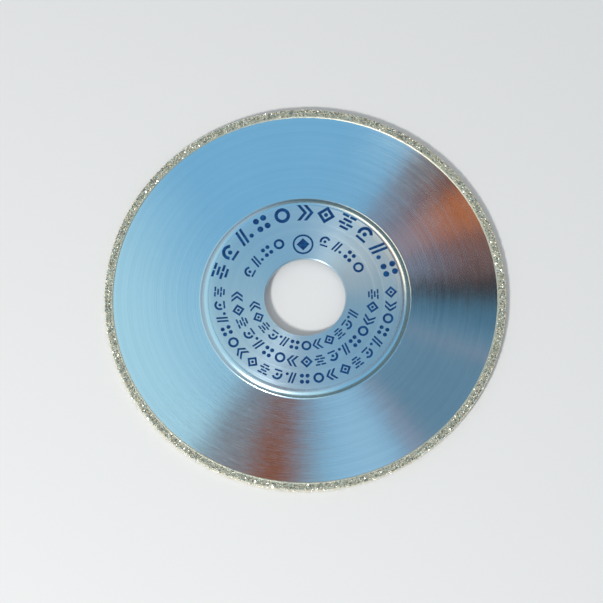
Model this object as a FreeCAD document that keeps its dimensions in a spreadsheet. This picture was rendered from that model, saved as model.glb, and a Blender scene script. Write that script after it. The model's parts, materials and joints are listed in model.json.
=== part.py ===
import FreeCAD, Part
import Sketcher

import os

# A thin cutting disc for stone, lying flat on its rim. The blank is one pressed sheet of steel: a flat
# hub that stands proud of the web, a bend of even wall between them, and a round bore for the arbor.
# A coat of plated nickel and diamond grains wraps the edge of the blank on both faces.
# Origin: on the bore's axis, in the plane that the rim lies on. +Z runs up the axis.

doc = FreeCAD.newDocument("cutting_disc")

# Driving dimensions, in millimetres.
DIMENSIONS = {
    "bore_diameter": 20.0,
    "bore_chamfer": 0.2,
    "sheet_thickness": 1.2,
    "hub_lift": 1.2,
    "hub_shoulder_diameter": 50.0,
    "bend_run": 1.15,
    "inner_bend_radius": 0.4,
    "blank_edge_chamfer": 0.25,
    "rim_diameter": 100.0,
    "coat_thickness": 0.3,
    "coat_width": 2.4,
    "coat_slope_width": 0.45,
    "coat_corner_radius": 0.45,
}

sheet = doc.addObject("Spreadsheet::Sheet", "sizes")
for row, (alias, value) in enumerate(DIMENSIONS.items(), start=1):
    sheet.set(f"A{row}", alias)
    sheet.set(f"B{row}", str(value))
    sheet.setAlias(f"B{row}", alias)
doc.recompute()

# Radii and heights that more than one feature uses, as expressions on the sheet.
BORE_RADIUS = "(sizes.bore_diameter / 2)"
SHOULDER_RADIUS = "(sizes.hub_shoulder_diameter / 2)"
FOOT_RADIUS = f"({SHOULDER_RADIUS} + sizes.bend_run)"
RIM_RADIUS = "(sizes.rim_diameter / 2)"
BLANK_RADIUS = f"({RIM_RADIUS} - sizes.coat_thickness)"
COAT_INNER_RADIUS = f"({RIM_RADIUS} - sizes.coat_width)"
COAT_CREST_RADIUS = f"({COAT_INNER_RADIUS} + sizes.coat_slope_width)"

WEB_UNDERSIDE = "(sizes.coat_thickness)"
WEB_TOP = f"({WEB_UNDERSIDE} + sizes.sheet_thickness)"
HUB_UNDERSIDE = f"({WEB_UNDERSIDE} + sizes.hub_lift)"
HUB_TOP = f"({HUB_UNDERSIDE} + sizes.sheet_thickness)"
RIM_TOP = f"({WEB_TOP} + sizes.coat_thickness)"

# The bend keeps the sheet's thickness, so the corners of its underside lie further in than those on top.
BEND_SLOPE = "atan(sizes.hub_lift / sizes.bend_run)"
BEND_INSET = f"(sizes.sheet_thickness * tan({BEND_SLOPE} / 2))"
OUTER_BEND_RADIUS = "(sizes.inner_bend_radius + sizes.sheet_thickness)"


def number(expression):
    """The value of an expression on the sheet, as a plain number."""
    value = sheet.evalExpression(expression)
    return float(getattr(value, "Value", value))


def add_body(label):
    body = doc.addObject("PartDesign::Body", label)
    body.Label = label
    body.Placement = FreeCAD.Placement()
    return body


def add_half_section(body, name, corners):
    """A closed outline of straight lines in the XZ plane, with each corner's radius and height bound."""
    plane = next(item for item in body.Origin.OriginFeatures if item.Role == "XZ_Plane")
    sketch = body.newObject("Sketcher::SketchObject", name)
    sketch.AttachmentSupport = [(plane, "")]
    sketch.MapMode = "FlatFace"
    points = [FreeCAD.Vector(number(radius), number(height), 0) for _, radius, height in corners]
    for start, end in zip(points, points[1:] + points[:1]):
        sketch.addGeometry(Part.LineSegment(start, end), False)
    for line in range(len(corners)):
        sketch.addConstraint(Sketcher.Constraint("Coincident", line, 2, (line + 1) % len(corners), 1))
    for line, (corner, radius, height) in enumerate(corners):
        across = sketch.addConstraint(
            Sketcher.Constraint("DistanceX", -1, 1, line, 1, points[line].x))
        sketch.renameConstraint(across, f"{corner}_radius")
        sketch.setExpression(f"Constraints.{corner}_radius", radius)
        up = sketch.addConstraint(
            Sketcher.Constraint("DistanceY", -1, 1, line, 1, points[line].y))
        sketch.renameConstraint(up, f"{corner}_height")
        sketch.setExpression(f"Constraints.{corner}_height", height)
    return sketch


def add_revolution(body, name, sketch):
    revolution = body.newObject("PartDesign::Revolution", name)
    revolution.Profile = sketch
    revolution.ReferenceAxis = (sketch, ["V_Axis"])
    revolution.Angle = 360
    sketch.Visibility = False
    doc.recompute()
    return revolution


def ring_edges(feature, places):
    """Names of the full circles about the axis that lie at the given radii and heights."""
    wanted = [(number(radius), number(height)) for radius, height in places]
    names = []
    for index, edge in enumerate(feature.Shape.Edges, start=1):
        curve = edge.Curve
        if not isinstance(curve, Part.Circle):
            continue
        if any(abs(curve.Radius - radius) < 1e-4 and abs(curve.Center.z - height) < 1e-4
               for radius, height in wanted):
            names.append(f"Edge{index}")
    if len(names) != len(places):
        raise RuntimeError(f"{feature.Name}: {len(places)} rings wanted, {len(names)} found")
    return names


def add_ring_fillet(body, name, base, places, radius):
    fillet = body.newObject("PartDesign::Fillet", name)
    fillet.Base = (base, ring_edges(base, places))
    fillet.setExpression("Radius", radius)
    doc.recompute()
    return fillet


def add_ring_chamfer(body, name, base, places, size):
    chamfer = body.newObject("PartDesign::Chamfer", name)
    chamfer.Base = (base, ring_edges(base, places))
    chamfer.setExpression("Size", size)
    doc.recompute()
    return chamfer


# Steel blank: a pressed sheet, bored for the arbor.
blank = add_body("steel_blank")
blank_section = add_half_section(blank, "blank_section", [
    ("bore_underside", BORE_RADIUS, HUB_UNDERSIDE),
    ("shoulder_underside", f"{SHOULDER_RADIUS} - {BEND_INSET}", HUB_UNDERSIDE),
    ("foot_underside", f"{FOOT_RADIUS} - {BEND_INSET}", WEB_UNDERSIDE),
    ("edge_underside", BLANK_RADIUS, WEB_UNDERSIDE),
    ("edge_top", BLANK_RADIUS, WEB_TOP),
    ("foot_top", FOOT_RADIUS, WEB_TOP),
    ("shoulder_top", SHOULDER_RADIUS, HUB_TOP),
    ("bore_top", BORE_RADIUS, HUB_TOP),
])
blank_turned = add_revolution(blank, "blank_turned", blank_section)

# The bends: wide on their outer side, tight on their inner side, round one centre each.
outer_bends = add_ring_fillet(blank, "outer_bends", blank_turned, [
    (SHOULDER_RADIUS, HUB_TOP),
    (f"{FOOT_RADIUS} - {BEND_INSET}", WEB_UNDERSIDE),
], OUTER_BEND_RADIUS)
inner_bends = add_ring_fillet(blank, "inner_bends", outer_bends, [
    (f"{SHOULDER_RADIUS} - {BEND_INSET}", HUB_UNDERSIDE),
    (FOOT_RADIUS, WEB_TOP),
], "sizes.inner_bend_radius")

# The edge is broken on both faces, so that the coat is as thick over its corners as beside them.
broken_edge = add_ring_chamfer(blank, "broken_edge", inner_bends, [
    (BLANK_RADIUS, WEB_TOP),
    (BLANK_RADIUS, WEB_UNDERSIDE),
], "sizes.blank_edge_chamfer")
bore_lead_in = add_ring_chamfer(blank, "bore_lead_in", broken_edge, [
    (BORE_RADIUS, HUB_TOP),
    (BORE_RADIUS, HUB_UNDERSIDE),
], "sizes.bore_chamfer")

# Diamond rim: the plated coat, thinning out to nothing on each face of the web.
rim = add_body("diamond_rim")
rim_section = add_half_section(rim, "rim_section", [
    ("seat_underside", COAT_INNER_RADIUS, WEB_UNDERSIDE),
    ("crest_underside", COAT_CREST_RADIUS, "0"),
    ("tip_underside", RIM_RADIUS, "0"),
    ("tip_top", RIM_RADIUS, RIM_TOP),
    ("crest_top", COAT_CREST_RADIUS, RIM_TOP),
    ("seat_top", COAT_INNER_RADIUS, WEB_TOP),
    ("groove_top", BLANK_RADIUS, WEB_TOP),
    ("groove_underside", BLANK_RADIUS, WEB_UNDERSIDE),
])
rim_turned = add_revolution(rim, "rim_turned", rim_section)
rim_groove = add_ring_chamfer(rim, "rim_groove", rim_turned, [
    (BLANK_RADIUS, WEB_TOP),
    (BLANK_RADIUS, WEB_UNDERSIDE),
], "sizes.blank_edge_chamfer")
rim_tips = add_ring_fillet(rim, "rim_tips", rim_groove, [
    (RIM_RADIUS, RIM_TOP),
    (RIM_RADIUS, "0"),
], "sizes.coat_corner_radius")

doc.recompute()
for item in doc.Objects:
    if "Invalid" in item.State or "Error" in item.State:
        raise RuntimeError(f"{item.Name} failed: {item.State}")

os.makedirs("parts", exist_ok=True)
for body in (blank, rim):
    if body.Shape.isNull() or not body.Shape.isValid():
        raise RuntimeError(f"{body.Label} has no valid shape")
    body.Shape.exportStep(f"parts/{body.Label}.step")
    print(body.Label, round(body.Shape.Volume, 3), "mm3", body.Shape.BoundBox)
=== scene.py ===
import json
import math

import bmesh
import bpy
from mathutils import Matrix, Vector

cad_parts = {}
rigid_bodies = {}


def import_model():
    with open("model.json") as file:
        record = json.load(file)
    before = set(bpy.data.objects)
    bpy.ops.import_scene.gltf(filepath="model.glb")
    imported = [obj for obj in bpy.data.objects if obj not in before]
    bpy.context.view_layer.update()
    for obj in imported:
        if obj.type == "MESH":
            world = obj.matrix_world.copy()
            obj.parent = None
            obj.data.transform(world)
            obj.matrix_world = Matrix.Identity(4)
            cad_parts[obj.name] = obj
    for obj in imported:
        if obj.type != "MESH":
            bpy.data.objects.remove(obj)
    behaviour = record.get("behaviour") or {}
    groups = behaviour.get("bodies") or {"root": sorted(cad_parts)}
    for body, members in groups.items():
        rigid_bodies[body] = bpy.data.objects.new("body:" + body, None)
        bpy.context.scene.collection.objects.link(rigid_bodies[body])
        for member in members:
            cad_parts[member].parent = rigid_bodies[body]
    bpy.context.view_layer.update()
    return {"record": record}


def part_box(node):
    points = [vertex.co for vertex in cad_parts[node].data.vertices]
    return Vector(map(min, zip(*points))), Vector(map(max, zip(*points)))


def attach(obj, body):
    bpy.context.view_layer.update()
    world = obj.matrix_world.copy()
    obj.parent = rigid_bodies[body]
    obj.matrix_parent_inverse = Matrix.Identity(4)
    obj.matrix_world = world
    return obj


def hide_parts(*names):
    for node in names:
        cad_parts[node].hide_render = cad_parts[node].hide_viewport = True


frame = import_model()


# Steel blank. The disc's body is one sheet of bright steel. It is pressed, so that a flat hub stands
# proud of the web with a bend between them, then bored for the arbor. The web is faced on a lathe,
# which leaves rings as fine as a record's, and the hub is left duller, ready for print.

MM = 0.001
arbor = next(mount for mount in frame["record"]["mounts"] if mount["name"] == "arbor_bore")
blank_low, blank_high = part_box("steel_blank")

BORE_RADIUS = arbor["dims"]["r_mm"] * MM
BLANK_RADIUS = blank_high.x
SHEET = 1.2 * MM
INK_THICKNESS = 0.012 * MM
HUB_TOP = blank_high.z - INK_THICKNESS
HUB_UNDERSIDE = blank_high.z - SHEET
WEB_UNDERSIDE = blank_low.z
WEB_TOP = WEB_UNDERSIDE + SHEET
SHOULDER_RADIUS = 25 * MM
BEND_RUN = 1.15 * MM
SHOULDER_BEND = 1.2 * MM
FOOT_BEND = 0.6 * MM
BORE_CHAMFER = 0.2 * MM
EDGE_CHAMFER = 0.25 * MM

# How finely the blank is turned: sides round the axis, and steps along the arcs of its outline.
BLANK_SIDES = 720
INSIDE_STEPS = 12
FOOT_STEPS = 14
SHOULDER_STEPS = 16

# The sweep's own radius, how near to a bend its held points lie, and the turn from which an edge is sharp.
SPINDLE = 1 * MM
HOLD = 0.06 * MM
SHARP_FROM = math.radians(28)


def arc(centre, radius, start, end, steps):
    """Points (radius, height) along an arc of a turned outline, angles in degrees."""
    points = []
    for step in range(steps + 1):
        angle = math.radians(start + (end - start) * step / steps)
        points.append((centre[0] + radius * math.cos(angle), centre[1] + radius * math.sin(angle)))
    return points


def held(first, last):
    """Two points close to the ends of a straight run, which keep its shading flat beside a bend."""
    length = math.dist(first, last)
    if length < 3 * HOLD:
        return []
    shares = (HOLD / length, 1 - HOLD / length)
    return [tuple(a + (b - a) * share for a, b in zip(first, last)) for share in shares]


def closed_outline(stretches):
    """One closed run of points: each stretch as given, with a held straight run to the next."""
    points = []
    for stretch, following in zip(stretches, stretches[1:] + stretches[:1]):
        points += stretch + held(stretch[-1], following[0])
    return points


class Wire:
    """A socket of a shader or geometry tree. Arithmetic on it adds Math nodes."""

    def __init__(self, tree, socket=None):
        self.tree = tree
        self.socket = socket

    def node(self, kind, settings, inputs, output=0):
        """Any node: its settings first, then its inputs by name or place, and the output that is wanted."""
        made = self.tree.nodes.new(kind)
        for name, value in settings.items():
            if name == "stops":
                ramp = made.color_ramp.elements
                for place, (position, tint) in enumerate(value):
                    stop = ramp[place] if place < 2 else ramp.new(position)
                    stop.position = position
                    stop.color = tint
            else:
                setattr(made, name, value)
        for name, value in inputs.items():
            if isinstance(value, Wire):
                self.tree.links.new(value.socket, made.inputs[name])
            else:
                made.inputs[name].default_value = value
        return Wire(self.tree, made.outputs[output])

    def other(self, output):
        """Another output of the node that this one comes from."""
        return Wire(self.tree, self.socket.node.outputs[output])

    def math(self, operation, *values):
        return self.node("ShaderNodeMath", {"operation": operation}, dict(enumerate(values)))

    def __add__(self, other):
        return self.math("ADD", self, other)

    def __radd__(self, other):
        return self.math("ADD", other, self)

    def __sub__(self, other):
        return self.math("SUBTRACT", self, other)

    def __rsub__(self, other):
        return self.math("SUBTRACT", other, self)

    def __mul__(self, other):
        return self.math("MULTIPLY", self, other)

    def __rmul__(self, other):
        return self.math("MULTIPLY", other, self)

    def __truediv__(self, other):
        return self.math("DIVIDE", self, other)

    def __rtruediv__(self, other):
        return self.math("DIVIDE", other, self)

    def __abs__(self):
        return self.math("ABSOLUTE", self)

    def rise(self, low, high):
        """0 up to low, 1 from high on, smooth between."""
        return self.node("ShaderNodeMapRange", {"interpolation_type": "SMOOTHSTEP"},
                         {"Value": self, "From Min": low, "From Max": high})

    def ridge(self, place, half_width):
        """1 at place, falling to 0 half a width to either side."""
        return 1 - abs(self - place).rise(0, half_width)

    def mix(self, first, second):
        """The colour first where this mask is 0, second where it is 1. A colour mix has them at 6 and 7."""
        return self.node("ShaderNodeMix", {"data_type": "RGBA"}, {"Factor": self, 6: first, 7: second}, 2)

    def vector(self, operation, output=0, **inputs):
        """A Vector Math node on this vector. Its other inputs are named, or b for the second vector."""
        values = {1 if name == "b" else name: value for name, value in inputs.items()}
        return self.node("ShaderNodeVectorMath", {"operation": operation}, {0: self, **values}, output)

    def noise(self, dimensions, size, **inputs):
        """Noise that follows this position, or this number in one dimension, with lumps of a size."""
        place = "W" if dimensions == "1D" else "Vector"
        return self.node("ShaderNodeTexNoise", {"noise_dimensions": dimensions},
                         {place: self, "Scale": 1 / size, **inputs})


def node_tree(name, wanted):
    """A geometry tree: a Wire that starts its nodes, a Wire for each input, and the inputs' identifiers."""
    tree = bpy.data.node_groups.new(name, "GeometryNodeTree")
    tree.is_modifier = True
    tree.interface.new_socket("Geometry", in_out="INPUT", socket_type="NodeSocketGeometry")
    tree.interface.new_socket("Geometry", in_out="OUTPUT", socket_type="NodeSocketGeometry")
    identifiers = {}
    for label, kind in wanted.items():
        socket = tree.interface.new_socket(label, in_out="INPUT", socket_type="NodeSocket" + kind)
        identifiers[label] = socket.identifier
    entrance = tree.nodes.new("NodeGroupInput")
    given = {label: Wire(tree, entrance.outputs[label]) for label in ["Geometry", *wanted]}
    return Wire(tree), given, identifiers


def end_tree(shape, finish):
    """Ends a geometry tree with this shape, as real faces in one finish."""
    solid = shape.node("GeometryNodeRealizeInstances", {}, {"Geometry": shape})
    finished = shape.node("GeometryNodeSetMaterial", {}, {"Geometry": solid, "Material": finish})
    shape.tree.links.new(finished.socket, shape.tree.nodes.new("NodeGroupOutput").inputs["Geometry"])


def put_in_scene(name, mesh):
    piece = bpy.data.objects.new(name, mesh)
    bpy.context.scene.collection.objects.link(piece)
    return piece


def grown_mesh(name, start_mesh, tree, identifiers, values):
    """The plain mesh that a geometry tree makes of start_mesh, with its inputs set to values."""
    carrier = put_in_scene(name + "_carrier", start_mesh)
    modifier = carrier.modifiers.new(name, "NODES")
    modifier.node_group = tree
    for label, value in values.items():
        modifier[identifiers[label]] = value
    bpy.context.view_layer.update()
    ready = carrier.evaluated_get(bpy.context.evaluated_depsgraph_get())
    mesh = bpy.data.meshes.new_from_object(ready)
    bpy.data.objects.remove(carrier)
    mesh.name = name
    return mesh


turning, given, turning_inputs = node_tree(
    "turned_ring", {"Spindle": "Float", "Sides": "Int", "Finish": "Material"})
outline_curve = turning.node("GeometryNodeMeshToCurve", {}, {"Mesh": given["Geometry"]})
circle = turning.node("GeometryNodeCurvePrimitiveCircle", {},
                      {"Resolution": given["Sides"], "Radius": given["Spindle"]})
swept = turning.node("GeometryNodeCurveToMesh", {}, {"Curve": circle, "Profile Curve": outline_curve})
end_tree(turning.node("GeometryNodeSetShadeSmooth", {}, {"Geometry": swept}), given["Finish"])


def turned_mesh(name, outline, sides, finish):
    """The outline carried once round the axis. The sweep measures it from the spindle, height downwards."""
    mesh = bpy.data.meshes.new(name + "_outline")
    mesh.from_pydata([(radius - SPINDLE, -height, 0) for radius, height in outline],
                     [(point, (point + 1) % len(outline)) for point in range(len(outline))], [])
    ring = grown_mesh(name, mesh, turning.tree, turning_inputs,
                      {"Spindle": SPINDLE, "Sides": sides, "Finish": finish})
    shape = bmesh.new()
    shape.from_mesh(ring)
    bmesh.ops.recalc_face_normals(shape, faces=shape.faces)
    if shape.calc_volume(signed=True) < 0:
        bmesh.ops.reverse_faces(shape, faces=shape.faces)
    shape.to_mesh(ring)
    shape.free()
    ring.set_sharp_from_angle(angle=SHARP_FROM)
    return ring


bend_slope = math.atan2(HUB_UNDERSIDE - WEB_UNDERSIDE, BEND_RUN)
bend_degrees = math.degrees(bend_slope)
shoulder_outside = SHOULDER_BEND + SHEET
foot_outside = FOOT_BEND + SHEET
shoulder_centre = SHOULDER_RADIUS - shoulder_outside * math.tan(bend_slope / 2)
foot_centre = SHOULDER_RADIUS + BEND_RUN + FOOT_BEND * math.tan(bend_slope / 2)

blank_outline = closed_outline([
    arc((shoulder_centre, HUB_UNDERSIDE - SHOULDER_BEND), SHOULDER_BEND, 90, 90 - bend_degrees, INSIDE_STEPS),
    arc((foot_centre, WEB_UNDERSIDE + foot_outside), foot_outside, -90 - bend_degrees, -90, FOOT_STEPS),
    [(BLANK_RADIUS - EDGE_CHAMFER, WEB_UNDERSIDE)],
    [(BLANK_RADIUS, WEB_UNDERSIDE + EDGE_CHAMFER)],
    [(BLANK_RADIUS, WEB_TOP - EDGE_CHAMFER)],
    [(BLANK_RADIUS - EDGE_CHAMFER, WEB_TOP)],
    arc((foot_centre, WEB_TOP + FOOT_BEND), FOOT_BEND, -90, -90 - bend_degrees, INSIDE_STEPS),
    arc((shoulder_centre, HUB_TOP - shoulder_outside), shoulder_outside, 90 - bend_degrees, 90,
        SHOULDER_STEPS),
    [(BORE_RADIUS + BORE_CHAMFER, HUB_TOP)],
    [(BORE_RADIUS, HUB_TOP - BORE_CHAMFER)],
    [(BORE_RADIUS, HUB_UNDERSIDE + BORE_CHAMFER)],
    [(BORE_RADIUS + BORE_CHAMFER, HUB_UNDERSIDE)],
])


def linear(channel):
    """A screen channel, 0 to 255, as an amount of light."""
    share = channel / 255
    return share / 12.92 if share <= 0.04045 else ((share + 0.055) / 1.055) ** 2.4


def colour(red, green, blue):
    """A screen colour, 0 to 255 a channel, as the value that a socket takes."""
    return (linear(red), linear(green), linear(blue), 1)


def new_finish(name):
    """A material, its Principled shader, and a Wire that starts its nodes."""
    finish = bpy.data.materials.new(name)
    finish.use_nodes = True
    return finish, finish.node_tree.nodes["Principled BSDF"], Wire(finish.node_tree)


def feed(shader, **values):
    """Sets or links the shader's sockets, whose names have _ for a space here."""
    for name, value in values.items():
        socket = shader.inputs[name.replace("_", " ")]
        if isinstance(value, Wire):
            value.tree.links.new(value.socket, socket)
        else:
            socket.default_value = value


# The steel's blue tint is only partly its own. The steel is a cool silver, and the rest of the blue is
# painted reflection of a blue sky. Both steel tones carry it.
STEEL_SKY_BLUE = colour(206, 221, 234)
STEEL_SKY_BLUE_DARKER = colour(186, 204, 220)
STEEL_SCORED = colour(166, 168, 172)
STAIN_SIZE = 14 * MM

# The rings that the lathe cuts, and three deeper ones on the hub.
RELIEF = 0.01 * MM
FINE_RINGS = 0.22 * MM
BROAD_RINGS = 1.3 * MM
UNEVEN_SIZE = 9 * MM
HUB_RINGS = (17.3 * MM, 19.5 * MM, 23.3 * MM)
HUB_RING_WIDTH = 0.14 * MM

# Marks drawn out along the rings: how often they change round the disc, and how wide they are.
CHATTER = 0.014
CHATTER_ROUND = 5
CHATTER_WIDTH = 0.8 * MM
SCRATCH_ROUND = 16
SCRATCH_WIDTH = 0.09 * MM
SCRATCHED_SIDE = math.radians(243)
ALONG_RINGS = 0.25


def drawn_out(outward, radius, often, width):
    """Where a point lies, for noise whose lumps are narrow outwards and long round the disc."""
    steps_out = outward.node("ShaderNodeCombineXYZ", {}, {"Z": radius / width})
    return outward.vector("SCALE", Scale=often).vector("ADD", b=steps_out)


def lathe_steel(name, roughness, anisotropy, leans, grows, relief, ring_radii=()):
    """Steel cut in rings that lean outwards, by degrees that grow from least to most between two radii."""
    finish, shader, wire = new_finish(name)
    place = wire.node("ShaderNodeTexCoord", {}, {}, "Object")
    level = place.vector("MULTIPLY", b=(1, 1, 0))
    radius = level.vector("LENGTH", output="Value")
    outward = level.vector("NORMALIZE")

    least, most = leans
    growth = math.tan(math.radians(most - least))
    slope = radius.rise(*grows) * growth + math.tan(math.radians(least))
    chatter = drawn_out(outward, radius, CHATTER_ROUND, CHATTER_WIDTH).noise("3D", 1.0, Detail=4.0)
    sideways = outward.vector("CROSS_PRODUCT", b=(0, 0, 1)).vector("SCALE", Scale=(chatter - 0.5) * CHATTER)
    normal = wire.node("ShaderNodeNewGeometry", {}, {}, "Normal")
    leaning = normal.vector("ADD", b=outward.vector("SCALE", Scale=slope)).vector("ADD", b=sideways)

    rings = radius.noise("1D", FINE_RINGS, Detail=2.0) + radius.noise("1D", BROAD_RINGS, Detail=2.0) - 0.5
    height = rings * (0.6 + level.noise("3D", UNEVEN_SIZE, Detail=3.0) * 0.8) * relief
    for ring in ring_radii:
        height = height - radius.ridge(ring, HUB_RING_WIDTH) * 1.6

    scratched_way = (math.cos(SCRATCHED_SIDE), math.sin(SCRATCHED_SIDE), 0)
    worn = outward.vector("DOT_PRODUCT", b=scratched_way, output="Value")
    scratches = drawn_out(outward, radius, SCRATCH_ROUND, SCRATCH_WIDTH).noise("3D", 1.0, Detail=3.0)
    wear = 0.06 + worn.rise(0.78, 0.96) * 0.55
    dark = scratches.rise(0.55, 0.72) * wear
    bright = (1 - scratches).rise(0.55, 0.70) * wear

    stain = place.noise("3D", STAIN_SIZE, Detail=4.0, Roughness=0.65)
    # The plain steel mixes the two sky-tinted tones, so it carries the painted sky reflection too.
    plain = (rings * 0.5 + stain * 0.5).mix(STEEL_SKY_BLUE_DARKER, STEEL_SKY_BLUE)
    bump = wire.node("ShaderNodeBump", {}, {
        "Height": height + bright * 0.10, "Distance": RELIEF, "Normal": leaning})
    feed(shader, Base_Color=dark.mix(plain, STEEL_SCORED), Metallic=1.0,
         Roughness=roughness + (stain - 0.5) * 0.10 + bright * 0.10, Normal=bump,
         Anisotropic=anisotropy, Anisotropic_Rotation=ALONG_RINGS)
    return finish


web_steel = lathe_steel("web_steel", roughness=0.125, anisotropy=0.82,
                        leans=(4.5, 8.5), grows=(26 * MM, 49 * MM), relief=1.0)
bend_steel = lathe_steel("bend_steel", roughness=0.24, anisotropy=0.0,
                         leans=(0.0, 2.0), grows=(24 * MM, 27 * MM), relief=1.2)
hub_steel = lathe_steel("hub_steel", roughness=0.34, anisotropy=0.7,
                        leans=(3.0, 9.0), grows=(22.4 * MM, 24.0 * MM), relief=0.6, ring_radii=HUB_RINGS)

steel_blank = put_in_scene("blank_body", turned_mesh("blank_body", blank_outline, BLANK_SIDES, web_steel))
steel_blank.data.materials.append(bend_steel)
steel_blank.data.materials.append(hub_steel)
for face in steel_blank.data.polygons:
    # Slot 0 is the web, 1 the bend and 2 the hub.
    face_radius = math.hypot(face.center.x, face.center.y)
    face.material_index = (face_radius < foot_centre) + (face_radius < shoulder_centre)
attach(steel_blank, "root")
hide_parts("steel_blank")


# Printed marks. Rows of plain figures, such as bars, chevrons and lozenges, and a small badge above the
# bore. They are flat dark blue ink, screen printed on the hub in rings.

INK_BLUE = colour(0, 44, 96)
INK_LIGHT = colour(6, 84, 140)
INK_RELIEF = 0.01 * MM

# A figure is drawn one high with its middle at 0, and its row gives it its size.
STROKE = 0.17
LEAN = 0.1
CHEVRON_REACH = 0.2
DOT_SIDES = 10
FIGURE_STEP = 3


def bar(x):
    """An upright bar that leans to the right, as the outline of one flat face."""
    return [(x - STROKE / 2 - LEAN, -0.5), (x + STROKE / 2 - LEAN, -0.5),
            (x + STROKE / 2 + LEAN, 0.5), (x - STROKE / 2 + LEAN, 0.5)]


def level_bar(x, y, length):
    """A bar that lies level, centred on x and y."""
    left, right = x - length / 2, x + length / 2
    low, high = y - STROKE * 0.45, y + STROKE * 0.45
    return [(left, low), (right, low), (right, high), (left, high)]


def chevron(x):
    """Half a lozenge's outline, point to the right."""
    wide = STROKE * 1.3
    back, point = x - CHEVRON_REACH, x + CHEVRON_REACH
    return [[(back, -0.5), (back + wide, -0.5), (point + wide, 0.0), (point, 0.0)],
            [(point, 0.0), (point + wide, 0.0), (back + wide, 0.5), (back, 0.5)]]


def polygon(x, y, size, sides):
    """A dot, or with four sides a lozenge, that reaches size from its middle to its corners."""
    angles = [math.tau * side / sides for side in range(sides)]
    return [(x + size * math.cos(angle), y + size * math.sin(angle)) for angle in angles]


def ring_band(outer, inner, sides):
    """A flat ring, or with four sides a lozenge's outline, as quads."""
    outside, inside = polygon(0, 0, outer, sides), polygon(0, 0, inner, sides)
    return [[outside[side], outside[(side + 1) % sides], inside[(side + 1) % sides], inside[side]]
            for side in range(sides)]


FIGURES = {
    "bars": [bar(-0.28), bar(0.02), polygon(0.36, -0.3, 0.14, DOT_SIDES)],
    "bricks": [level_bar(-0.25, 0.39, 0.42), level_bar(0.25, 0.39, 0.42), level_bar(0, 0.13, 0.56),
               level_bar(-0.25, -0.13, 0.42), level_bar(0.25, -0.13, 0.42), level_bar(0, -0.39, 0.56)],
    "chevrons": chevron(-0.24) + chevron(0.16),
    "dots": [polygon(x, y, 0.19, DOT_SIDES) for x in (-0.25, 0.25) for y in (-0.28, 0.28)],
    "half_ring": ring_band(0.48, 0.28, 24)[2:14] + [polygon(0, -0.02, 0.14, DOT_SIDES),
                                                    level_bar(0, -0.40, 0.70)],
    "open_lozenge": ring_band(0.56, 0.30, 4) + [polygon(0, 0, 0.13, DOT_SIDES)],
    "ring": ring_band(0.48, 0.27, 20),
}


def flakes(shape, outlines):
    """Adds each outline (x, y, z) to shape as a closed flake of ink, as thick as the print."""
    thickness = Vector((0, 0, INK_THICKNESS))
    for outline in outlines:
        low = [shape.verts.new(point) for point in outline]
        high = [shape.verts.new(Vector(point) + thickness) for point in outline]
        shape.faces.new(low)
        shape.faces.new(high)
        for side in range(len(outline)):
            shape.faces.new([low[side - 1], low[side], high[side], high[side - 1]])
    bmesh.ops.recalc_face_normals(shape, faces=shape.faces)


figures = bpy.data.collections.new("figures")
bpy.context.scene.collection.children.link(figures)
for figure_name, figure_outlines in FIGURES.items():
    shape = bmesh.new()
    flakes(shape, [[(x, y, 0) for x, y in outline] for outline in figure_outlines])
    mesh = bpy.data.meshes.new("figure_" + figure_name)
    shape.to_mesh(mesh)
    shape.free()
    figures.objects.link(bpy.data.objects.new("figure_" + figure_name, mesh))

ink, ink_shader, wire = new_finish("blue_ink")
ink_wear = wire.node("ShaderNodeTexCoord", {}, {}, "Object").noise("3D", 0.5 * MM, Detail=4.0)
ink_bump = wire.node("ShaderNodeBump", {}, {"Height": ink_wear, "Distance": INK_RELIEF, "Strength": 0.4})
feed(ink_shader, Base_Color=ink_wear.rise(0.35, 0.75).mix(INK_BLUE, INK_LIGHT),
     Roughness=0.4 + ink_wear * 0.2, Specular_IOR_Level=0.25, Normal=ink_bump)

printing, given, printing_inputs = node_tree("printed_row", {
    "Radius": "Float", "Start": "Float", "End": "Float", "Count": "Int", "Size": "Float", "Level": "Float",
    "First": "Int", "Figures": "Collection", "Finish": "Material"})
spots = printing.node("GeometryNodePoints", {}, {"Count": given["Count"]})
index = printing.node("GeometryNodeInputIndex", {}, {})
angle = printing.node("ShaderNodeMapRange", {}, {
    "Value": index / (given["Count"] - 1.0), "To Min": given["Start"], "To Max": given["End"]})
outward = printing.node("ShaderNodeCombineXYZ", {}, {
    "X": printing.math("COSINE", angle), "Y": printing.math("SINE", angle)})
raised = printing.node("ShaderNodeCombineXYZ", {}, {"Z": given["Level"]})
placed = printing.node("GeometryNodeSetPosition", {}, {
    "Geometry": spots, "Position": outward.vector("SCALE", Scale=given["Radius"]).vector("ADD", b=raised)})
facing_out = printing.node("ShaderNodeCombineXYZ", {}, {"Z": angle - math.pi / 2})
flat_size = printing.node("ShaderNodeCombineXYZ", {}, {"X": given["Size"], "Y": given["Size"], "Z": 1.0})
figure_set = printing.node("GeometryNodeCollectionInfo", {}, {
    "Collection": given["Figures"], "Separate Children": True, "Reset Children": True})
pick = printing.math("MODULO", index * FIGURE_STEP + given["First"], len(FIGURES))
marks = printing.node("GeometryNodeInstanceOnPoints", {}, {
    "Points": placed, "Instance": figure_set, "Pick Instance": True, "Instance Index": pick,
    "Rotation": facing_out, "Scale": flat_size})
end_tree(marks, given["Finish"])

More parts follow.
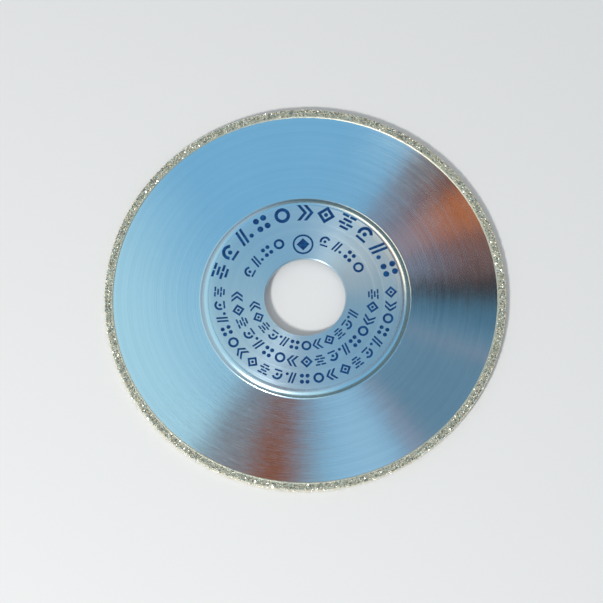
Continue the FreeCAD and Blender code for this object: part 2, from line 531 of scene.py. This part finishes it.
# Each row's middle radius and figure height in millimetres, the angles that it runs between, how many
# figures it has, and which comes first.
PRINT_ROWS = {
    "print_top": (22.1, 4.1, 160, 17, 11, 1),
    "print_upper_left": (15.3, 2.8, 152, 113, 4, 4),
    "print_upper_right": (15.3, 2.8, 69, 28, 4, 4),
    "print_outer": (21.3, 2.8, 174, 361, 21, 1),
    "print_middle": (16.9, 2.8, 178, 360, 17, 2),
    "print_inner": (12.7, 2.6, 189, 336, 12, 2),
}
BADGE = 2.6 * MM
BADGE_PLACE = 13.8 * MM

printed = bmesh.new()
for row_name, (radius, size, start, end, count, first) in PRINT_ROWS.items():
    row = grown_mesh(row_name, bpy.data.meshes.new(row_name + "_start"), printing.tree, printing_inputs, {
        "Radius": radius * MM, "Start": math.radians(start), "End": math.radians(end), "Count": count,
        "Size": size * MM, "Level": HUB_TOP, "First": first, "Figures": figures, "Finish": ink})
    printed.from_mesh(row)
flakes(printed, [[(BADGE * x, BADGE_PLACE + BADGE * y, HUB_TOP) for x, y in outline]
                 for outline in ring_band(1.0, 0.82, 40) + [polygon(0, 0, 0.62, 4)]])
print_mesh = bpy.data.meshes.new("hub_print")
printed.to_mesh(print_mesh)
printed.free()
print_mesh.materials.append(ink)
hub_print = put_in_scene("hub_print", print_mesh)
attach(hub_print, "root")
for figure in list(figures.objects):
    bpy.data.objects.remove(figure)
bpy.data.collections.remove(figures)


# Plated nickel. The blank's edge is dipped in diamond grit and plated, so a skin of nickel wraps it on
# both faces, lumpy from the grains in it. It ends in a low lip, torn ragged, on the web.

rim_low, rim_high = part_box("diamond_rim")
RIM_RADIUS = rim_high.x
COAT_INNER = RIM_RADIUS - 2.4 * MM
COAT_SLOPE = 0.45 * MM
COAT_CORNER = 0.36 * MM
GRAINS_STAND = 0.20 * MM
RIM_SIDES = 1100
CORNER_STEPS = 5

# The margin starts inside COAT_INNER, sunk a little in the steel, and rises to a level lip.
MARGIN_FOOT = 0.1 * MM
MARGIN_SUNK = 0.04 * MM
MARGIN_EDGE = 0.01 * MM
LIP = 0.17 * MM
LIP_STARTS = 0.15 * MM
LIP_ENDS = 0.3 * MM
SKIN_ROWS = (1.4 * MM, 1.05 * MM, 0.7 * MM)

skin_radius = RIM_RADIUS - GRAINS_STAND
skin_top = rim_high.z - GRAINS_STAND
skin_underside = rim_low.z + GRAINS_STAND


def coat_face(web, skin, way):
    """One face of the coat's outline, from its margin out to its corner. way is 1 on top, -1 underneath."""
    return [
        [(COAT_INNER - MARGIN_FOOT, web - way * MARGIN_SUNK)],
        [(COAT_INNER - MARGIN_FOOT, web + way * MARGIN_EDGE)],
        [(COAT_INNER + LIP_STARTS, web + way * LIP)],
        [(COAT_INNER + LIP_ENDS, web + way * LIP)],
        [(COAT_INNER + COAT_SLOPE, skin)],
        [(skin_radius - row, skin) for row in SKIN_ROWS],
        arc((skin_radius - COAT_CORNER, skin - way * COAT_CORNER), COAT_CORNER, way * 90, 0, CORNER_STEPS),
    ]


coat_top = coat_face(WEB_TOP, skin_top, 1)
coat_outline = closed_outline(
    coat_face(WEB_UNDERSIDE, skin_underside, -1)
    + [[(skin_radius, (skin_underside + skin_top) / 2)]]
    + [stretch[::-1] for stretch in reversed(coat_top)])

NICKEL_DARK = colour(88, 84, 74)
NICKEL_PALE = colour(222, 216, 200)
NICKEL_MARGIN = colour(206, 199, 184)
# The wall's near white tone is partly the pale nickel of the edge and partly painted light, as though the
# edge were sunlit.
NICKEL_WALL_PAINTED_LIT = colour(244, 238, 232)
MOTTLE_SIZE = 0.16 * MM
MOTTLE_DEPTH = 0.06 * MM

nickel, nickel_shader, wire = new_finish("plated_nickel")
nickel_place = wire.node("ShaderNodeTexCoord", {}, {}, "Object")
mottle = nickel_place.noise("3D", MOTTLE_SIZE, Detail=3.0, Roughness=0.6)
nickel_radius = nickel_place.vector("MULTIPLY", b=(1, 1, 0)).vector("LENGTH", output="Value")
crest = nickel_radius.rise(COAT_INNER + LIP_ENDS, COAT_INNER + 0.7 * MM)
# Mask for the outer wall, which is painted near white all round. This is partly the pale nickel and partly
# painted light, as on a sunlit edge.
lit_rim_wall = nickel_radius.rise(skin_radius - 0.12 * MM, skin_radius - 0.02 * MM)
nickel_tint = crest.mix(NICKEL_MARGIN, mottle.rise(0.3, 0.7).mix(NICKEL_DARK, NICKEL_PALE))
nickel_bump = wire.node("ShaderNodeBump", {}, {"Height": mottle, "Distance": MOTTLE_DEPTH, "Strength": 0.8})
feed(nickel_shader, Base_Color=(lit_rim_wall * 0.8).mix(nickel_tint, NICKEL_WALL_PAINTED_LIT), Metallic=0.9,
     Roughness=0.36 + mottle * 0.25, Normal=nickel_bump)

LUMP_SIZE = 0.4 * MM
LUMP_HEIGHT = 0.12 * MM
RAGGED = 0.35 * MM
RAGGED_REACH = 0.7 * MM

plating, given, plating_inputs = node_tree("lumpy_skin", {
    "Lump": "Float", "Height": "Float", "Ragged": "Float", "Margin": "Float", "Finish": "Material"})
lump_scale = 1.0 / given["Lump"]
lumps = plating.node("ShaderNodeTexNoise", {}, {"Scale": lump_scale, "Detail": 2.0})
skin_normal = plating.node("GeometryNodeInputNormal", {}, {})
swelling = skin_normal.vector("SCALE", Scale=(lumps - 0.5) * given["Height"])
level = plating.node("GeometryNodeInputPosition", {}, {}).vector("MULTIPLY", b=(1, 1, 0))
near_margin = plating.node("ShaderNodeMapRange", {}, {
    "Value": level.vector("LENGTH", output="Value"), "From Min": given["Margin"],
    "From Max": given["Margin"] + RAGGED_REACH, "To Min": given["Ragged"], "To Max": 0.0})
torn = plating.node("ShaderNodeTexNoise", {}, {"Scale": lump_scale, "Detail": 3.0, "Roughness": 0.7})
pulled = level.vector("NORMALIZE").vector("SCALE", Scale=torn * near_margin)
end_tree(plating.node("GeometryNodeSetPosition", {}, {
    "Geometry": given["Geometry"], "Offset": swelling.vector("ADD", b=pulled)}), given["Finish"])

smooth_coat = turned_mesh("coat_blank", coat_outline, RIM_SIDES, nickel)
rim_coat = put_in_scene("rim_coat", grown_mesh("rim_coat", smooth_coat, plating.tree, plating_inputs, {
    "Lump": LUMP_SIZE, "Height": LUMP_HEIGHT, "Ragged": RAGGED, "Margin": COAT_INNER, "Finish": nickel}))
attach(rim_coat, "root")
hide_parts("diamond_rim")


# Diamond grains. Crystals a quarter to half a millimetre across, held in the nickel by their lower half.
# They are dull green, straw or smoky, and a few catch the light.

GRAIN_RADIUS = 0.24 * MM
SMALLEST_GRAIN = 0.55
GRAIN_SPACING = 0.32 * MM
GRAIN_SUNK = 0.045 * MM
GRAINS_PER_MM2 = 50
TURN_SEED = 3
SIZE_SEED = 5
TONE_SEED = 9
GRAIN_SMOKY = colour(50, 50, 42)
GRAIN_GREEN = colour(160, 163, 140)
GRAIN_STRAW = colour(214, 200, 164)
GRAIN_CLEAR = colour(255, 252, 240)

diamond, diamond_shader, wire = new_finish("diamond_grain")
grain_tone = wire.node("ShaderNodeAttribute", {"attribute_name": "grain_tone"}, {}, "Fac")
grain_tint = wire.node("ShaderNodeValToRGB", {"stops": [
    (0.16, GRAIN_SMOKY), (0.76, GRAIN_CLEAR), (0.38, GRAIN_GREEN), (0.6, GRAIN_STRAW)]}, {"Fac": grain_tone})
grain_haze = wire.node("ShaderNodeTexCoord", {}, {}, "Object").noise("3D", 0.12 * MM, Detail=2.0)
feed(diamond_shader, Base_Color=(grain_haze * 0.15).mix(grain_tint, GRAIN_CLEAR),
     Roughness=0.16 + grain_haze * 0.15, Metallic=grain_tone.rise(0.68, 0.74) * 0.8, IOR=1.9)

crystal = bmesh.new()
for axis in range(3):
    for first in (-1, 1):
        for second in (-1, 1):
            corner = [first, second]
            corner.insert(axis, 0)
            crystal.verts.new(Vector(corner) * GRAIN_RADIUS / math.sqrt(2))
bmesh.ops.convex_hull(crystal, input=crystal.verts)
bmesh.ops.dissolve_limit(crystal, angle_limit=math.radians(2), verts=crystal.verts, edges=crystal.edges)
bmesh.ops.recalc_face_normals(crystal, faces=crystal.faces)
crystal_mesh = bpy.data.meshes.new("crystal")
crystal.to_mesh(crystal_mesh)
crystal.free()
crystal_object = put_in_scene("crystal", crystal_mesh)

planting, given, planting_inputs = node_tree("plated_grit", {
    "Spacing": "Float", "Density": "Float", "Smallest": "Float", "Largest": "Float", "Sunk": "Float",
    "Dullest": "Float", "Seed": "Int", "Crystal": "Object", "Finish": "Material"})
seats = planting.node("GeometryNodeDistributePointsOnFaces", {"distribute_method": "POISSON"}, {
    "Mesh": given["Geometry"], "Distance Min": given["Spacing"], "Density Max": given["Density"],
    "Seed": given["Seed"]})
sunk_seats = planting.node("GeometryNodeSetPosition", {}, {
    "Geometry": seats, "Offset": seats.other("Normal").vector("SCALE", Scale=given["Sunk"] * -1.0)})
any_turn = planting.node("FunctionNodeRandomValue", {"data_type": "FLOAT_VECTOR"},
                         {0: (0, 0, 0), 1: (math.tau, math.tau, math.tau), "Seed": TURN_SEED})
any_size = planting.node("FunctionNodeRandomValue", {"data_type": "FLOAT"},
                         {2: given["Smallest"], 3: given["Largest"], "Seed": SIZE_SEED}, 1)
any_tone = planting.node("FunctionNodeRandomValue", {"data_type": "FLOAT"},
                         {2: given["Dullest"], 3: 1.0, "Seed": TONE_SEED}, 1)
crystal_shape = planting.node("GeometryNodeObjectInfo", {}, {"Object": given["Crystal"]}, "Geometry")
grains = planting.node("GeometryNodeInstanceOnPoints", {}, {
    "Points": sunk_seats, "Instance": crystal_shape, "Rotation": any_turn, "Scale": any_size})
end_tree(planting.node("GeometryNodeStoreNamedAttribute", {"data_type": "FLOAT", "domain": "INSTANCE"}, {
    "Geometry": grains, "Name": "grain_tone", "Value": any_tone}), given["Finish"])


def plant_grit(name, lowest_lean, highest_lean, dullest, seed):
    """Grains on the coat's faces whose normals rise between two limits, as a piece of its own."""
    ground = bmesh.new()
    ground.from_mesh(smooth_coat)
    spare = [face for face in ground.faces
             if not lowest_lean < face.normal.z <= highest_lean
             or face.calc_center_median().xy.length < COAT_INNER + COAT_SLOPE]
    bmesh.ops.delete(ground, geom=spare, context="FACES")
    ground_mesh = bpy.data.meshes.new(name + "_ground")
    ground.to_mesh(ground_mesh)
    ground.free()
    grit = put_in_scene(name, grown_mesh(name, ground_mesh, planting.tree, planting_inputs, {
        "Spacing": GRAIN_SPACING, "Density": GRAINS_PER_MM2 / MM ** 2, "Smallest": SMALLEST_GRAIN,
        "Largest": 1.0, "Sunk": GRAIN_SUNK, "Dullest": dullest, "Seed": seed, "Crystal": crystal_object,
        "Finish": diamond}))
    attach(grit, "root")
    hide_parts("diamond_rim")


# A normal that rises more than CORNER_LEAN belongs to a face of the disc, and none rises past STRAIGHT_UP.
CORNER_LEAN = 0.6
STRAIGHT_UP = 1.1
plant_grit("rim_grit_top", CORNER_LEAN, STRAIGHT_UP, dullest=0.06, seed=21)
# The grains on the edge get only the paler half of the tones. This is partly painted light, as though the
# edge were sunlit.
plant_grit("rim_grit_edge", -CORNER_LEAN, CORNER_LEAN, dullest=0.5, seed=22)
plant_grit("rim_grit_under", -STRAIGHT_UP, -CORNER_LEAN, dullest=0.0, seed=23)
bpy.data.objects.remove(crystal_object)


# Studio. A pale floor, a small sun lamp from the front left, and a pale blue surround with a few
# coloured cards, which the lathe's rings draw out into fans of light.

FLOOR_REACH = 3.0
FLOOR_GAP = 0.02 * MM
FLOOR_PALE = colour(228, 229, 229)
floor_mesh = bpy.data.meshes.new("floor")
floor_mesh.from_pydata([(-FLOOR_REACH, -FLOOR_REACH, -FLOOR_GAP), (FLOOR_REACH, -FLOOR_REACH, -FLOOR_GAP),
                        (FLOOR_REACH, FLOOR_REACH, -FLOOR_GAP), (-FLOOR_REACH, FLOOR_REACH, -FLOOR_GAP)],
                       [], [(0, 1, 2, 3)])
floor = put_in_scene("floor", floor_mesh)
paper, paper_shader, wire = new_finish("floor_paper")
feed(paper_shader, Base_Color=FLOOR_PALE, Roughness=0.9)
floor.data.materials.append(paper)


def aim(thing, azimuth, elevation, distance, target, roll=0.0):
    """Put a lamp or a camera at a bearing (0 is +X, anticlockwise) and a height in degrees, facing target."""
    a, e = math.radians(azimuth), math.radians(elevation)
    away = Vector((math.cos(a) * math.cos(e), math.sin(a) * math.cos(e), math.sin(e)))
    turn = away.to_track_quat("Z", "Y").to_matrix() @ Matrix.Rotation(math.radians(roll), 3, "Z")
    thing.location = Vector(target) + away * distance
    thing.rotation_euler = turn.to_euler()


SUN_AZIMUTH = 232
SUN_ELEVATION = 44
SUN_DISTANCE = 0.9
sun = bpy.data.lights.new("sun_lamp", "AREA")
sun.size = 0.13
sun.energy = 5.6
sun.color = (1, 0.985, 0.96)
sun_lamp = bpy.data.objects.new("sun_lamp", sun)
bpy.context.scene.collection.objects.link(sun_lamp)
aim(sun_lamp, SUN_AZIMUTH, SUN_ELEVATION, SUN_DISTANCE, (0, 0, 0))

VIEW_AZIMUTH = -90
VIEW_ELEVATION = 71.6
VIEW_ROLL = -2.3
VIEW_DISTANCE = 1.6
VIEW_TARGET = (-0.96 * MM, -0.87 * MM, 1.8 * MM)
IMAGE_PIXELS = 603
RIM_PIXELS = 403.1
SENSOR_MM = 36
camera_data = bpy.data.cameras.new("camera")
camera_data.sensor_width = SENSOR_MM
camera_data.lens = VIEW_DISTANCE * RIM_PIXELS / (2 * RIM_RADIUS) / IMAGE_PIXELS * SENSOR_MM
camera_data.clip_end = 20
camera = bpy.data.objects.new("camera", camera_data)
bpy.context.scene.collection.objects.link(camera)
aim(camera, VIEW_AZIMUTH, VIEW_ELEVATION, VIEW_DISTANCE, VIEW_TARGET, VIEW_ROLL)
bpy.context.scene.camera = camera

world = bpy.data.worlds.new("studio")
bpy.context.scene.world = world
world.use_nodes = True
air = Wire(world.node_tree)
direction = air.node("ShaderNodeTexCoord", {}, {}, "Generated")
tilt = math.radians(90 - VIEW_ELEVATION)


def along(bearing):
    """How far a ray leans towards a bearing, measured round the direction that the level web mirrors."""
    b = math.radians(bearing)
    axis = Vector((math.cos(b), math.sin(b) * math.cos(tilt), -math.sin(b) * math.sin(tilt)))
    return direction.vector("DOT_PRODUCT", b=axis, output="Value")


def card(sky, bearing, spread, softness, near, tint):
    """A wedge round the mirrored point, from near outwards on one bearing, so that the web shows a fan."""
    reach = along(bearing)
    across = abs(along(bearing + 90)) / reach
    inner = math.tan(math.radians(spread - softness))
    outer = math.tan(math.radians(spread + softness))
    mask = reach.rise(near - 0.05, near + 0.05) * (1 - reach.rise(0.5, 0.7)) * (1 - across.rise(inner, outer))
    return mask.mix(sky, tint)


SKY_PALE = colour(214, 252, 255)
SKY_DEEP = colour(146, 204, 232)
PALE_SIDE = 205
CARD_ROSE = colour(188, 172, 178)
CARD_MAROON = colour(122, 66, 54)

# Each card's bearing, half its width and its softness in degrees, how near it starts, and its colour.
CARDS = {
    "dusk": (325, 26, 5, 0.02, colour(120, 154, 170)),
    "milky": (288, 10, 5, 0.05, colour(182, 220, 238)),
    "rose": (304, 2, 4, 0.12, CARD_ROSE),
    "narrow_rose": (341, 1, 2, 0.03, CARD_ROSE),
    "teal": (355, 6, 3, 0.06, colour(88, 128, 146)),
    "grey": (31, 25, 3, 0.04, colour(154, 168, 184)),
    "clay": (32, 23, 3, 0.22, colour(136, 116, 112)),
    "dark": (5, 6, 3, 0.08, colour(62, 58, 54)),
    "umber": (14, 6, 4, 0.20, colour(132, 88, 76)),
    "rust": (32, 11, 5, 0.20, colour(212, 112, 52)),
    "maroon": (42, 3, 3, 0.20, CARD_MAROON),
    "other_maroon": (22, 2, 4, 0.18, CARD_MAROON),
    "violet": (252, 18, 7, 0.04, colour(148, 142, 142)),
    "brick": (257.5, 6.5, 3, 0.12, colour(168, 84, 34)),
}
HORIZON = colour(234, 235, 235)
GROUND_DARK = colour(112, 128, 124)
GROUND_PALE = colour(196, 212, 216)
GROUND_PALE_SIDE = math.radians(157)
WALL_SIDE = math.radians(51)
WALL_GLARE = tuple(2.8 * channel for channel in colour(255, 238, 204))
SOFT_LIGHT = (0.5, 0.52, 0.54, 1)

height_of_ray = air.node("ShaderNodeSeparateXYZ", {}, {0: direction}, "Z")
level_ray = direction.vector("MULTIPLY", b=(1, 1, 0)).vector("NORMALIZE")


def towards(side):
    """How far a ray's level part points to one side."""
    return level_ray.vector("DOT_PRODUCT", b=(math.cos(side), math.sin(side), 0), output="Value")


sky = along(PALE_SIDE).rise(0.04, 0.30).mix(SKY_DEEP, SKY_PALE)
for bearing, spread, softness, near, tint in CARDS.values():
    sky = card(sky, bearing, spread, softness, near, tint)
ground = towards(GROUND_PALE_SIDE).rise(0.35, 0.75).mix(GROUND_DARK, GROUND_PALE)
sky = height_of_ray.rise(0.40, 0.62).mix(ground, sky)
wall_height = height_of_ray.rise(0.40, 0.48) * (1 - height_of_ray.rise(0.70, 0.78))
sky = (towards(WALL_SIDE).rise(0.88, 0.95) * wall_height).mix(sky, WALL_GLARE)

camera_ray = air.node("ShaderNodeLightPath", {}, {}, "Is Camera Ray")
mirrored_ray = air.math("MAXIMUM", camera_ray.other("Is Glossy Ray"), camera_ray.other("Is Transmission Ray"))
backdrop = camera_ray.mix(mirrored_ray.mix(SOFT_LIGHT, sky), HORIZON)
world.node_tree.links.new(backdrop.socket, world.node_tree.nodes["Background"].inputs["Color"])

bpy.context.scene.view_settings.view_transform = "Standard"
